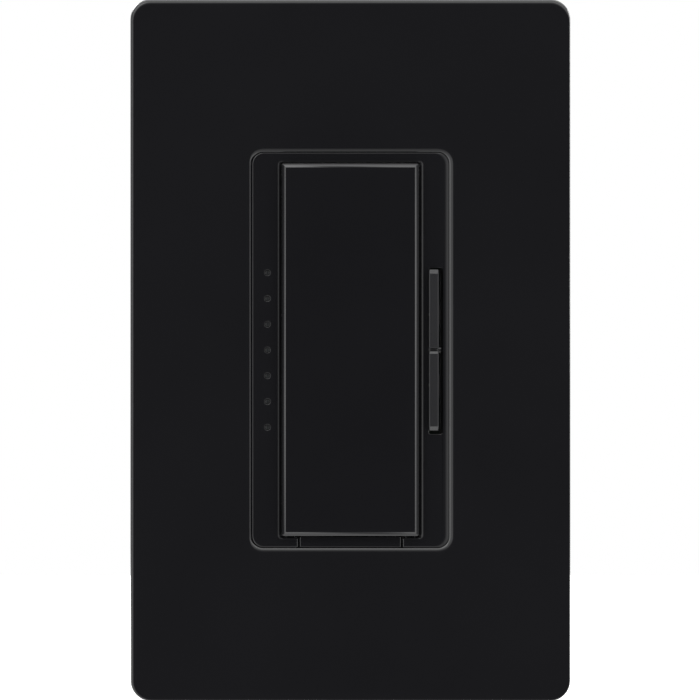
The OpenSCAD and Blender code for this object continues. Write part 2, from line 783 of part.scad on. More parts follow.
module rear_housing() {
    color(black) difference() {
        union() {
            difference() {
                translate([0, housing_d, 0]) rotate([0, 0, 180])
                    chamfered_slab(housing_w, housing_h, 2, 0, housing_d, 0.8, 0.8);
                slab(-over, housing_d - 1.8) round_rect(housing_w - 2 * housing_wall,
                    housing_h - 2 * housing_wall, 0.8);
            }
            at_bosses() rod_along_y(tunnel_r, seat_y - 1.6, housing_d - 1);
            at_terminals() {
                box([pocket_floor - pocket_wall, pocket_y0 - pocket_wall, -pocket_half_z - pocket_wall],
                    [housing_w / 2 - 0.5, pocket_y1 + pocket_wall, pocket_half_z + pocket_wall]);
                translate([wire_hole_x, 0, 0]) rod_along_y(2.6, 19, housing_d - 1);
            }
        }
        at_bosses() {
            rod_along_y(tunnel_in_r, seat_y, housing_d + over);
            rod_along_y(1.3, 0, seat_y + over);
        }
        at_terminals() {
            box([pocket_floor, pocket_y0, -pocket_half_z], [housing_w, pocket_y1, pocket_half_z]);
            translate([0, 8.6, 0]) rod_along_x(terminal_screw_r + 0.2, 15, 20);
            translate([wire_hole_x, 0, 0]) rod_along_y(wire_hole_r, 18, housing_d + over);
        }
    }
}

module housing_screws() {
    color(steel) at_bosses() difference() {
        union() {
            rod_along_y(1.1, -5, seat_y + 0.1);
            rod_along_y(2, seat_y, seat_y + 1.6);
        }
        translate([0, seat_y + 1.6, 0]) rotate([0, 0, 180]) drive_recess(1.3, 0.5, 0.9);
    }
}

cover_plate();
cover_adapter();
adapter_screws();
mounting_yoke();
box_screws();
screw_retainers();
bezel();
light_pipe();
status_leds();
control_board();
control_chip();
insulator_sheet();
tap_switch_body();
raise_switch_body();
lower_switch_body();
tap_plunger();
raise_plunger();
lower_plunger();
tap_paddle();
dimming_rocker();
air_gap_tab();
contact_leaf();
moving_contact();
leaf_post();
fixed_contact();
board_header();
power_board();
triac();
triac_insulator();
triac_rivet();
choke_core();
choke_winding();
film_capacitor();
electrolytic_capacitor();
varistor();
line_fuse();
power_resistors();
terminal_plates();
terminal_screws();
wire_clamps();
ground_screw();
rear_housing();
housing_screws();
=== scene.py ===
import json
import math

import bmesh
import bpy
from mathutils import Matrix, Vector
from mathutils.geometry import tessellate_polygon


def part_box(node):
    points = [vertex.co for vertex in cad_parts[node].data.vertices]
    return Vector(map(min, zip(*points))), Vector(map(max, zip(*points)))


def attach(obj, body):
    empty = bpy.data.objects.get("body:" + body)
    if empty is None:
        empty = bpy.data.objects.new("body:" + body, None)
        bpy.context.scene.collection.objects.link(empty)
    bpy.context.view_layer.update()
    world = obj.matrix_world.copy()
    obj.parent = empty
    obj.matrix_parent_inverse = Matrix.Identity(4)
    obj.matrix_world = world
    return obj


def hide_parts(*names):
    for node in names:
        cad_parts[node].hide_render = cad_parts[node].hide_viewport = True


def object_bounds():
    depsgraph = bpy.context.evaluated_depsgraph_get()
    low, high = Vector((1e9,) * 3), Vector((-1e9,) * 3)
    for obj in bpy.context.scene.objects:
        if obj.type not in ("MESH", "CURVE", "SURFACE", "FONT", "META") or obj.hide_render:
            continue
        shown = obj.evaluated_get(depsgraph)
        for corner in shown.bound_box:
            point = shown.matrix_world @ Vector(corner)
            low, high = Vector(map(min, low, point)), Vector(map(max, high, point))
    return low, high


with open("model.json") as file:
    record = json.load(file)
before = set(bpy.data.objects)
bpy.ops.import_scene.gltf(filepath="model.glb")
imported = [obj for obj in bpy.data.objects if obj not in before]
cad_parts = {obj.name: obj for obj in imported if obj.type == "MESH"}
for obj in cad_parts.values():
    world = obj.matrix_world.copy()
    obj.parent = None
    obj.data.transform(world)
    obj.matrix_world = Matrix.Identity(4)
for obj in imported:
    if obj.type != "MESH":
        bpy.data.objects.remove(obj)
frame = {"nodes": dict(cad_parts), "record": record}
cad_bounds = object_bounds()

MM = 0.001
SAME = 1e-6  # points closer than this, in millimetres, are one vertex
STRAIGHT = 1e-4  # a turn or cross product below this means no corner
SCENE = bpy.context.scene


# ---------------------------------------------------------------- outlines
def heading(a, b):
    return (Vector(b[:2]) - Vector(a[:2])).normalized()


def left_of(direction):
    return Vector((-direction.y, direction.x))


def rounded(corners, steps=6):
    """Outline through (u, v, radius) corners, with an arc at each."""
    points = []
    for i, here in enumerate(corners):
        back = heading(corners[i - 1], here)
        ahead = heading(here, corners[(i + 1) % len(corners)])
        turn = math.atan2(back.cross(ahead), back.dot(ahead))
        place, radius = Vector(here[:2]), here[2]
        if abs(turn) < STRAIGHT:
            points.append(place)
            continue
        start = place - back * radius * math.tan(abs(turn) / 2)
        centre = start + left_of(back) * math.copysign(radius, turn)
        arm = start - centre
        for k in range(steps + 1):
            points.append(centre + Matrix.Rotation(turn * k / steps, 2) @ arm)
    return points


def inset(corners, distance, share=None):
    """An anticlockwise outline moved inwards; edge i moves by share[i] of distance."""
    moved = []
    for i, here in enumerate(corners):
        back = heading(corners[i - 1], here)
        ahead = heading(here, corners[(i + 1) % len(corners)])
        d0 = distance * (share[i - 1] if share else 1)
        d1 = distance * (share[i] if share else 1)
        cross = back.cross(ahead)
        place = Vector(here[:2]) + left_of(back) * d0
        if abs(cross) > STRAIGHT:
            place -= back * (d1 - d0 * back.dot(ahead)) / cross
        radius = here[2]
        if radius > 0:
            radius = max(radius - math.copysign(1, cross) * min(d0, d1, key=abs), 0)
        moved.append((place.x, place.y, radius))
    return moved


def rectangle(width, height, radius=0.0, centre=(0, 0)):
    u, v = width / 2, height / 2
    return [(centre[0] + a * u, centre[1] + b * v, radius)
            for a, b in ((1, -1), (1, 1), (-1, 1), (-1, -1))]


def circle(radius, centre=(0, 0), sides=24):
    return [(u, v, 0) for u, v in around(radius, sides, centre)]


def spokes(sides):
    return [(math.cos(2 * math.pi * k / sides), math.sin(2 * math.pi * k / sides))
            for k in range(sides)]


def around(radius, sides, centre=(0, 0)):
    return [(centre[0] + radius * c, centre[1] + radius * s) for c, s in spokes(sides)]


def crossed_slot(half, width, short, soft=0.08):
    """A slot of that half length, crossed by one of short times its length."""
    a, b, c = half, width / 2, half * short
    return [(u, v, soft) for u, v in (
        (a, -b), (a, b), (b, b), (b, c), (-b, c), (-b, b),
        (-a, b), (-a, -b), (-b, -b), (-b, -c), (b, -c), (b, -b))]


# Edge profiles are (inset, depth) steps from the side to the face
SHARP = [(0, 0)]


def round_edge(radius, steps=5):
    angles = [math.pi / 2 * k / steps for k in range(steps + 1)]
    return [(radius * (1 - math.cos(t)), radius * (1 - math.sin(t))) for t in angles]


def arc_edge(width, steepest, steps=7):
    """An arc that starts at that many degrees off the face and ends flush with it."""
    top = math.radians(steepest)
    radius = width / math.sin(top)
    angles = [top * (1 - k / steps) for k in range(steps + 1)]
    return [(radius * (math.sin(top) - math.sin(t)), radius * (1 - math.cos(t))) for t in angles]


def bevel_edge(width, depth, outer, inner, steps=4):
    """A flat bevel with its two edges softened by those radii."""
    past = 1  # the side and the face go on that far, so both edges have a corner
    line = [(0, depth + past, 0), (0, depth, outer), (width, 0, inner), (width + past, 0, 0)]
    path = rounded(line, steps)
    return [tuple(p) for p in path[steps + 1:3 * (steps + 1)]]


def guarded(edge, band=0.03):
    """The profile with a narrow flat band added, so that the face's own normals stay flat."""
    return edge + [(edge[-1][0] + band, 0)] if len(edge) > 1 else edge


# ---------------------------------------------------------------- shapes
# A place function turns an outline's (u, v) and a depth w into (x, y, z)
def front_view(u, v, w):
    """Outline in X and Z, depth along Y."""
    return (u, w, v)


def side_view(u, v, w):
    """Outline in Y and Z, extruded along X."""
    return (w, u, v)


class Shape:
    """Vertices and faces in millimetres, until they become a mesh."""

    def __init__(self):
        self.verts, self.faces = [], []

    def loop(self, spots):
        """Adds a closed ring of vertices; neighbours in one spot share a vertex."""
        ids = []
        for spot in spots:
            shared = [k for k in ids[-1:] + ids[:1] if (spot - self.verts[k]).length < SAME]
            if not shared:
                self.verts.append(spot)
            ids.append(shared[0] if shared else len(self.verts) - 1)
        return ids

    def ring(self, points, w, place):
        """A loop of (u, v) points at depth w, which may depend on the point."""
        return self.loop([Vector(place(p[0], p[1], w(p) if callable(w) else w)) for p in points])

    def face(self, ids):
        unique = [v for k, v in enumerate(ids) if v not in ids[:k]]
        if len(unique) > 2:
            self.faces.append(unique)

    def bridge(self, a, b):
        for k in range(len(a)):
            j = (k + 1) % len(a)
            self.face([a[k], a[j], b[j], b[k]])

    def cap(self, loops, flat):
        """Fills between an outline and its holes; flat gives each vertex's (u, v)."""
        clean = []
        for loop in loops:
            clean.append([v for k, v in enumerate(loop) if v != loop[k - 1]])
        joined = [v for loop in clean for v in loop]
        lines = [[Vector((*flat[v], 0)) for v in loop] for loop in clean]
        for tri in tessellate_polygon(lines):
            self.face([joined[k] for k in tri])

    def tube(self, rings, ends=True):
        for a, b in zip(rings, rings[1:]):
            self.bridge(a, b)
        if ends:
            for loop in (rings[0], rings[-1]):
                self.face(loop)

    def prism(self, corners, w0, w1, front=SHARP, back=SHARP, holes=(), share=None,
              place=front_view, steps=6):
        """A slab between w0 and w1 with shaped edges; holes are (corners, front lip, back lip)."""
        flat, faces_front, faces_back = {}, [], []
        loops = [(corners, front, back, 1, share)]
        loops += [(hole, lip, under, -1, None) for hole, lip, under in holes]
        for outline, near, far, sign, shares in loops:
            rings = []
            stack = [(d, w0 + depth) for d, depth in reversed(guarded(near))]
            stack += [(d, w1 - depth) for d, depth in guarded(far)]
            for d, w in stack:
                points = rounded(inset(outline, sign * d, shares), steps)
                ids = self.ring(points, w, place)
                flat.update({i: (p[0], p[1]) for i, p in zip(ids, points)})
                rings.append(ids)
            self.tube(rings, ends=False)
            faces_front.append(rings[0])
            faces_back.append(rings[-1])
        self.cap(faces_front, flat)
        self.cap(faces_back, flat)
        return self

    def block(self, low, high, edge=0.1, place=front_view):
        """A box with softened edges; low and high are in the outline's own order."""
        u0, v0, w0 = low
        u1, v1, w1 = high
        corners = rectangle(u1 - u0, v1 - v0, edge, ((u0 + u1) / 2, (v0 + v1) / 2))
        return self.prism(corners, w0, w1, round_edge(edge, 2), round_edge(edge, 2), place=place,
                          steps=2)

    def turned(self, profile, centre=(0, 0), place=front_view, sides=32):
        """(radius, height) points turned round an axis."""
        self.tube([self.ring(around(radius, sides, centre), w, place) for radius, w in profile])
        return self

    def threaded(self, minor, major, pitch, w0, w1, place, sides=24, per_turn=8):
        """Rings of a screw thread, which runs out at both ends."""
        flank = 2.6  # the crest falls to the root within 1 / flank of a pitch
        rings = []
        steps = round((w1 - w0) / pitch * per_turn)
        for k in range(steps + 1):
            w = w0 + (w1 - w0) * k / steps
            run_out = min(1, (w - w0) / pitch, (w1 - w) / pitch)
            points = []
            for j, (c, s) in enumerate(spokes(sides)):
                off_crest = abs((w / pitch - j / sides) % 1 - 0.5) * flank
                r = minor + (major - minor) * max(0, 1 - off_crest) * run_out
                points.append((r * c, r * s))
            rings.append(self.ring(points, w, place))
        return rings

    def screw(self, head, recess, depth, thread, place, sides=24):
        """head: (radius, w) from the rim of its top down to the shank; thread: minor radius,
        major radius, pitch, end; w grows towards the tip."""
        minor, major, pitch, end = thread
        taper = 0.6  # length of the plain tip
        tip = [(minor * 0.7, end - 0.1), (minor * 0.6, end)]
        rings = [self.ring(around(r, sides), w, place) for r, w in head]
        rings += self.threaded(minor, major, pitch, head[-1][1], end - taper, place, sides)
        rings += [self.ring(around(r, sides), w, place) for r, w in tip]
        self.tube(rings, ends=False)
        self.face(rings[-1])
        rim, top = head[0]
        points = rounded(recess, 2)
        mouth, floor_of_slot = [self.ring(points, w, place) for w in (top, top + depth)]
        self.bridge(mouth, floor_of_slot)
        flat = {i: tuple(p) for ids in (mouth, floor_of_slot) for i, p in zip(ids, points)}
        flat.update(zip(rings[0], around(rim, sides)))
        self.cap([rings[0], mouth], flat)
        self.cap([floor_of_slot], flat)
        return self


def replace_node(node, shape, body="chassis", sharp=33):
    """The shape in the node's place, riding on its body: smooth-shaded, with edges over
    that many degrees kept hard."""
    name, slot = node + "_shape", SLOT_OF[node]
    data = bpy.data.meshes.new(name)
    data.from_pydata([v * MM for v in shape.verts], [], shape.faces)
    bm = bmesh.new()
    bm.from_mesh(data)
    bmesh.ops.dissolve_degenerate(bm, dist=1e-9, edges=bm.edges)
    bmesh.ops.recalc_face_normals(bm, faces=bm.faces)
    for face in bm.faces:
        face.smooth = True
    for edge in bm.edges:
        if len(edge.link_faces) == 2:
            edge.smooth = edge.calc_face_angle(0) < math.radians(sharp)
    bm.to_mesh(data)
    bm.free()
    made = bpy.data.objects.new(name, data)
    SCENE.collection.objects.link(made)
    weighted(made)
    made.data.materials.append(finish_for(slot))
    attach(made, body)
    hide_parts(node)


def weighted(thing):
    """Large faces decide the normals, so they stay flat beside rounded edges."""
    normals = thing.modifiers.new("normals", "WEIGHTED_NORMAL")
    normals.keep_sharp = True
    normals.weight = 60


# ---------------------------------------------------------------- materials
SLOT_OF = {s["node"]: s["material_slot"] for s in frame["record"]["subparts"]}
FINISHES = {}


class Finish:
    """A node material: Principled, with its colour, roughness and bump from noise."""

    def __init__(self, name, roughness, metallic=0.0, **fixed):
        self.material = bpy.data.materials.new(name)
        self.material.use_nodes = True
        self.tree = self.material.node_tree
        self.shader = self.tree.nodes["Principled BSDF"]
        self.shader.inputs["Roughness"].default_value = roughness
        self.shader.inputs["Metallic"].default_value = metallic
        for socket, value in fixed.items():
            self.shader.inputs[socket.replace("_", " ")].default_value = value
        self.coords = self.add("ShaderNodeTexCoord").outputs["Object"]
        self.bumped = None

    def add(self, kind, **settings):
        node = self.tree.nodes.new(kind)
        for key, value in settings.items():
            setattr(node, key, value)
        return node

    def link(self, a, b):
        self.tree.links.new(a, b)

    def stretched(self, scale):
        node = self.add("ShaderNodeMapping")
        node.inputs["Scale"].default_value = scale
        self.link(self.coords, node.inputs["Vector"])
        return node.outputs["Vector"]

    def noise(self, size, detail=3.0, stretch=None, rough=0.55):
        """Noise whose features are about size millimetres across."""
        node = self.add("ShaderNodeTexNoise")
        node.inputs["Scale"].default_value = 1 / (size * MM)
        node.inputs["Detail"].default_value = detail
        node.inputs["Roughness"].default_value = rough
        self.link(self.stretched(stretch) if stretch else self.coords, node.inputs["Vector"])
        return node.outputs["Fac"]

    def cells(self, size):
        node = self.add("ShaderNodeTexVoronoi", feature="F1")
        node.inputs["Scale"].default_value = 1 / (size * MM)
        self.link(self.coords, node.inputs["Vector"])
        return node.outputs["Distance"]

    def levels(self, source, low, high, to_low, to_high):
        node = self.add("ShaderNodeMapRange")
        for key, value in zip(("From Min", "From Max", "To Min", "To Max"),
                              (low, high, to_low, to_high)):
            node.inputs[key].default_value = value
        self.link(source, node.inputs["Value"])
        return node.outputs["Result"]

    def ramp(self, source, stops):
        node = self.add("ShaderNodeValToRGB")
        line = node.color_ramp
        while len(line.elements) < len(stops):
            line.elements.new(0.5)
        for element, (place, colour) in zip(line.elements, stops):
            element.position = place
            element.color = (*colour, 1)
        self.link(source, node.inputs["Fac"])
        return node.outputs["Color"]

    def mottled(self, tone, spread, size, detail, stops=(0.3, 0.5, 0.7)):
        """A colour that drifts between darker and lighter shades of the tone."""
        return self.ramp(self.noise(size, detail), list(zip(stops, shades(tone, spread))))

    def mix(self, mask, a, b):
        """a where the mask is 0, b where it is 1; each is a colour or an output."""
        node = self.add("ShaderNodeMix", data_type="RGBA", blend_type="MIX")
        for socket, value in ((node.inputs[0], mask), (node.inputs[6], a), (node.inputs[7], b)):
            if isinstance(value, tuple):
                socket.default_value = (*value, 1)
            else:
                self.link(value, socket)
        return node.outputs[2]

    def colour(self, source):
        self.link(source, self.shader.inputs["Base Color"])
        return self

    def gloss(self, source):
        self.link(source, self.shader.inputs["Roughness"])
        return self

    def bump(self, source, height):
        """Adds relief of that height in millimetres on top of any before it."""
        node = self.add("ShaderNodeBump")
        node.inputs["Strength"].default_value = 1.0
        node.inputs["Distance"].default_value = height * MM
        self.link(source, node.inputs["Height"])
        if self.bumped:
            self.link(self.bumped, node.inputs["Normal"])
        self.bumped = node.outputs["Normal"]
        self.link(self.bumped, self.shader.inputs["Normal"])
        return self


def shades(tone, spread):
    return [tuple(min(c * f, 1) for c in tone) for f in (1 - spread, 1, 1 + spread)]


def smooth_plastic(name, tone, roughness):
    f = Finish(name, roughness, IOR=1.5)
    f.colour(f.mottled(tone, 0.04, 14, 2, (0.3, 0.5, 0.72)))
    f.gloss(f.levels(f.noise(22, 4), 0.3, 0.7, roughness * 0.92, roughness * 1.08))
    return f.bump(f.noise(5, 2), 0.0016).bump(f.noise(0.4, 2), 0.0003)


def moulded_plastic(name, tone, roughness, grain=0.012, size=0.35):
    f = Finish(name, roughness, IOR=1.48)
    body = f.mottled(tone, 0.25, 9, 4)
    f.colour(f.mix(f.levels(f.noise(0.6, 2), 0.62, 0.75, 0, 0.18), body, (0.12, 0.115, 0.11)))
    f.gloss(f.levels(f.noise(3, 4), 0.3, 0.7, roughness - 0.08, roughness + 0.1))
    return f.bump(f.cells(size), grain).bump(f.noise(size * 0.5, 3), grain * 0.4)


def metal(name, tone, roughness, brush=None, pits=0.002, tarnish=None):
    f = Finish(name, roughness, metallic=1.0)
    body = f.mottled(tone, 0.1, 6, 5)
    if tarnish:
        body = f.mix(f.levels(f.noise(3.5, 6, rough=0.65), 0.52, 0.72, 0, 0.75), body, tarnish)
    f.colour(body)
    streak = f.noise(1.2, 3, stretch=brush) if brush else f.noise(1.5, 4)
    f.gloss(f.levels(streak, 0.3, 0.7, roughness * 0.7, roughness * 1.35))
    if brush:
        f.bump(streak, 0.004)
    return f.bump(f.noise(0.25, 2), pits)


def circuit_board(name):
    f = Finish(name, 0.35, IOR=1.5, Coat_Weight=0.4, Coat_Roughness=0.15)
    green = f.ramp(f.noise(2.5, 4), [(0.3, (0.003, 0.014, 0.007)), (0.7, (0.005, 0.022, 0.01))])
    tracks = f.add("ShaderNodeTexBrick", offset=0.5, squash=1.4)
    turned = f.add("ShaderNodeMapping")
    turned.inputs["Rotation"].default_value = (math.pi / 2, 0, 0)
    f.link(f.coords, turned.inputs["Vector"])
    f.link(turned.outputs["Vector"], tracks.inputs["Vector"])
    for key, value in (("Scale", 260.0), ("Mortar Size", 0.035), ("Brick Width", 1.3),
                       ("Row Height", 0.42), ("Mortar Smooth", 0.2)):
        tracks.inputs[key].default_value = value
    copper = f.mix(tracks.outputs["Fac"], green, (0.008, 0.04, 0.018))
    pads = f.levels(f.cells(2.6), 0.0, 0.16, 1, 0)
    f.colour(f.mix(f.levels(pads, 0.35, 0.5, 0, 1), copper, (0.55, 0.56, 0.55)))
    f.gloss(f.levels(f.noise(1.2, 3), 0.3, 0.7, 0.28, 0.45))
    return f.bump(tracks.outputs["Fac"], 0.02).bump(f.noise(0.5, 2), 0.003)


def film(name, tone, roughness):
    f = Finish(name, roughness, IOR=1.6)
    f.colour(f.mottled(tone, 0.15, 5, 3))
    f.gloss(f.levels(f.noise(2, 3), 0.3, 0.7, roughness * 0.8, roughness * 1.3))
    return f.bump(f.noise(7, 2), 0.02).bump(f.noise(0.6, 2), 0.001)


def banded_ceramic(name, tone, bands):
    """A coat with (place, colour) bands square to its length, in millimetres from the middle."""
    half_band = 0.35
    f = Finish(name, 0.3, IOR=1.5, Coat_Weight=0.5)
    body = f.mottled(tone, 0.1, 1.5, 3)
    along = f.add("ShaderNodeSeparateXYZ")
    f.link(f.coords, along.inputs["Vector"])
    for place, colour in bands:
        inside = f.add("ShaderNodeMath", operation="COMPARE")
        inside.inputs[1].default_value = place * MM
        inside.inputs[2].default_value = half_band * MM
        f.link(along.outputs["X"], inside.inputs[0])
        body = f.mix(inside.outputs["Value"], body, colour)
    f.colour(body)
    f.gloss(f.levels(f.noise(1, 3), 0.3, 0.7, 0.24, 0.4))
    return f.bump(f.noise(0.8, 3), 0.01)


BLACK = (0.0064, 0.0064, 0.0074)
RECIPES = {
    "cover_plastic": lambda n: smooth_plastic(n, BLACK, 0.14),
    "bezel_plastic": lambda n: smooth_plastic(n, BLACK, 0.12),
    "paddle_plastic": lambda n: smooth_plastic(n, BLACK, 0.09),
    "rocker_plastic": lambda n: smooth_plastic(n, (0.0165, 0.0165, 0.0178), 0.2),
    "tab_plastic": lambda n: smooth_plastic(n, BLACK, 0.12),
    "adapter_plastic": lambda n: moulded_plastic(n, (0.018, 0.018, 0.019), 0.5),
    "housing_plastic": lambda n: moulded_plastic(n, (0.02, 0.02, 0.021), 0.46, 0.02, 0.5),
    "switch_plastic": lambda n: moulded_plastic(n, (0.03, 0.03, 0.03), 0.42, 0.004, 0.2),
    "header_plastic": lambda n: moulded_plastic(n, (0.02, 0.02, 0.02), 0.42, 0.004, 0.2),
    "plunger_plastic": lambda n: smooth_plastic(n, (0.72, 0.71, 0.66), 0.4),
    "light_pipe": lambda n: smooth_plastic(n, (0.016, 0.017, 0.018), 0.1),
    "led_ceramic": lambda n: film(n, (0.78, 0.75, 0.62), 0.3),
    "circuit_board": circuit_board,
    "chip_epoxy": lambda n: moulded_plastic(n, (0.022, 0.022, 0.024), 0.5, 0.004, 0.12),
    "insulator_film": lambda n: film(n, (0.5, 0.26, 0.05), 0.25),
    "fibre": lambda n: moulded_plastic(n, (0.4, 0.05, 0.03), 0.6, 0.01, 0.25),
    "silicone_pad": lambda n: moulded_plastic(n, (0.42, 0.44, 0.47), 0.55, 0.006, 0.3),
    "aluminium": lambda n: metal(n, (0.36, 0.365, 0.375), 0.34, brush=(6, 6, 0.15)),
    "zinc_screw": lambda n: metal(n, (0.58, 0.59, 0.61), 0.26, tarnish=(0.42, 0.43, 0.47)),
    "black_screw": lambda n: metal(n, (0.03, 0.03, 0.032), 0.38, tarnish=(0.09, 0.085, 0.08)),
    "brass_screw": lambda n: metal(n, (0.7, 0.5, 0.18), 0.24, tarnish=(0.42, 0.27, 0.09)),
    "green_screw": lambda n: metal(n, (0.04, 0.32, 0.12), 0.3, tarnish=(0.02, 0.16, 0.07)),
    "terminal_brass": lambda n: metal(n, (0.7, 0.5, 0.2), 0.28, brush=(1, 0.08, 1),
                                      tarnish=(0.45, 0.29, 0.11)),
    "spring_brass": lambda n: metal(n, (0.62, 0.38, 0.17), 0.25, brush=(0.08, 1, 1)),
    "contact_silver": lambda n: metal(n, (0.78, 0.78, 0.76), 0.22, tarnish=(0.5, 0.48, 0.42)),
    "choke_core": lambda n: film(n, (0.05, 0.28, 0.16), 0.35),
    "copper_wire": lambda n: metal(n, (0.62, 0.22, 0.07), 0.22, tarnish=(0.38, 0.11, 0.03)),
    "capacitor_box": lambda n: film(n, (0.62, 0.42, 0.05), 0.35),
    "capacitor_sleeve": lambda n: film(n, (0.02, 0.025, 0.09), 0.3),
    "varistor_coating": lambda n: film(n, (0.55, 0.12, 0.03), 0.4),
    "fuse_body": lambda n: banded_ceramic(n, (0.62, 0.5, 0.34), [(-2.6, (0.3, 0.16, 0.06))]),
    "resistor_coating": lambda n: banded_ceramic(n, (0.35, 0.5, 0.58), [
        (-2.2, (0.25, 0.1, 0.03)), (-1.2, (0.02, 0.02, 0.02)), (-0.2, (0.5, 0.03, 0.02)),
        (2.0, (0.6, 0.42, 0.08))]),
}


def finish_for(slot):
    if slot not in FINISHES:
        FINISHES[slot] = RECIPES[slot](slot + "_finish").material
    return FINISHES[slot]


# ---------------------------------------------------------------- sizes
def box_mm(node):
    low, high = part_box(node)
    return [c / MM for c in low], [c / MM for c in high]


COVER_LOW, COVER_HIGH = box_mm("cover_plate")
BEZEL_LOW, BEZEL_HIGH = box_mm("bezel")
PADDLE_LOW, PADDLE_HIGH = box_mm("tap_paddle")
ROCKER_LOW, ROCKER_HIGH = box_mm("dimming_rocker")
TAB_LOW, TAB_HIGH = box_mm("air_gap_tab")

OPENING = (33.6, 67.25, 2.0)  # width, height and corner radius
WINDOW = (23.9, 63.7)  # the paddle's opening in the bezel
BEZEL_T = 0.9
BEZEL_FACE, BEZEL_INNER = BEZEL_LOW[1], BEZEL_LOW[1] + BEZEL_T
PADDLE_HALF, PADDLE_T = (11.6, 31.575), 1.3
HINGE = (-5.6, 30.2)  # the paddle's axis, in Y and Z; the rocker's has the same Y
HINGE_REACH = (12.15, 13.4)  # X of the bezel's lugs and of the end of the paddle's pins
ROCKER_X = 14.15
LIGHTS = [(-14.07, (i - 3) * 4.37) for i in range(7)]
BOSSES = [(x, z) for x in (-13.2, 13.2) for z in (-24.5, 24.5)]
BOX_Z, ADAPTER_Z = 41.67, 48.41
TERMINALS = [(1, 13), (1, -13), (-1, 13)]  # side and Z


# ---------------------------------------------------------------- cover plate
def cover_plate():
    width = COVER_HIGH[0] - COVER_LOW[0]
    height = COVER_HIGH[2] - COVER_LOW[2]
    front = COVER_LOW[1]
    wall, corner = 1.7, 3.4
    pry, step = 4.0, 0.01  # half width of the pry notch in the lower rim, and of its sides
    pry_depth, rim = 1.2, -0.5
    ledge, back = -3.6, -5.6  # the flange's step round the opening, and its back
    # how wide the roundings are: right, top, left, then all of the bottom
    sides, lips = [0.2, 1, 0.6] + [0.25] * 5, [1, 0.9, 0.4] + [1] * 5

    def notched(w, h, radius):
        """A rectangle with the pry notch's corners in its lower edge."""
        return rectangle(w, h, radius) + [
            (x, -h / 2, 0) for x in (-pry, step - pry, pry - step, pry)]

    def depth(y):
        """The rim steps back over the pry notch."""
        return lambda p: y - pry_depth if (
            y > rim and abs(p[0]) < pry - step / 2 and p[1] < -50) else y

    outer = notched(width, height, corner)
    inner = notched(width - 2 * wall, height - 2 * wall, corner - wall)
    opening = notched(*OPENING)
    stack = [(inset(outer, d), -t) for d, t in reversed(round_edge(0.2, 3))]
    stack += [(inset(outer, d, sides), front + t) for d, t in guarded(round_edge(0.9, 8))]
    stack += [(inset(opening, -d, lips), front + t)
              for d, t in reversed(guarded(arc_edge(0.8, 33, 9)))]
    stack += [(opening, ledge - 0.15), (inset(opening, -0.15), ledge),
              (inset(opening, -1.05), ledge), (inset(opening, -1.2), ledge - 0.15),
              (inset(opening, -1.2), back + 0.3), (inset(opening, -1.5), back),
              (inset(inner, 0.4), back), (inner, back + 0.4)]
    stack += [(inset(inner, -d), -t) for d, t in round_edge(0.2, 3)]
    shape = Shape()
    rings = [shape.ring(rounded(corners, 8), depth(y), front_view) for corners, y in stack]
    shape.tube(rings + rings[:1], ends=False)

    in_x, in_z = width / 2 - wall, height / 2 - wall
    for x in (-1, 1):
        for z in (-48, -12, 12, 48):
            a, b = sorted((x * 19, x * (in_x + 0.1)))
            shape.block((a, z - 0.5, front + 1.9), (b, z + 0.5, -3.8), 0.12)
    hook = [(0, 0.1, 0), (-0.9, 0.2, 0.1), (-0.9, 0.5, 0.1), (0, 1.1, 0), (0.3, 1.1, 0),
            (0.3, 0.1, 0)]
    half_hook, hook_y = 6, -1.6
    for sign in (-1, 1):
        for z in (-32, 32):
            shape.prism(hook, z - half_hook, z + half_hook, steps=2,
                        place=lambda u, v, w, s=sign: (s * (in_x + u), v + hook_y, w))
        shape.prism(hook, -half_hook, half_hook, steps=2,
                    place=lambda u, v, w, s=sign: (w, v + hook_y, s * (in_z + u)))
    replace_node("cover_plate", shape)


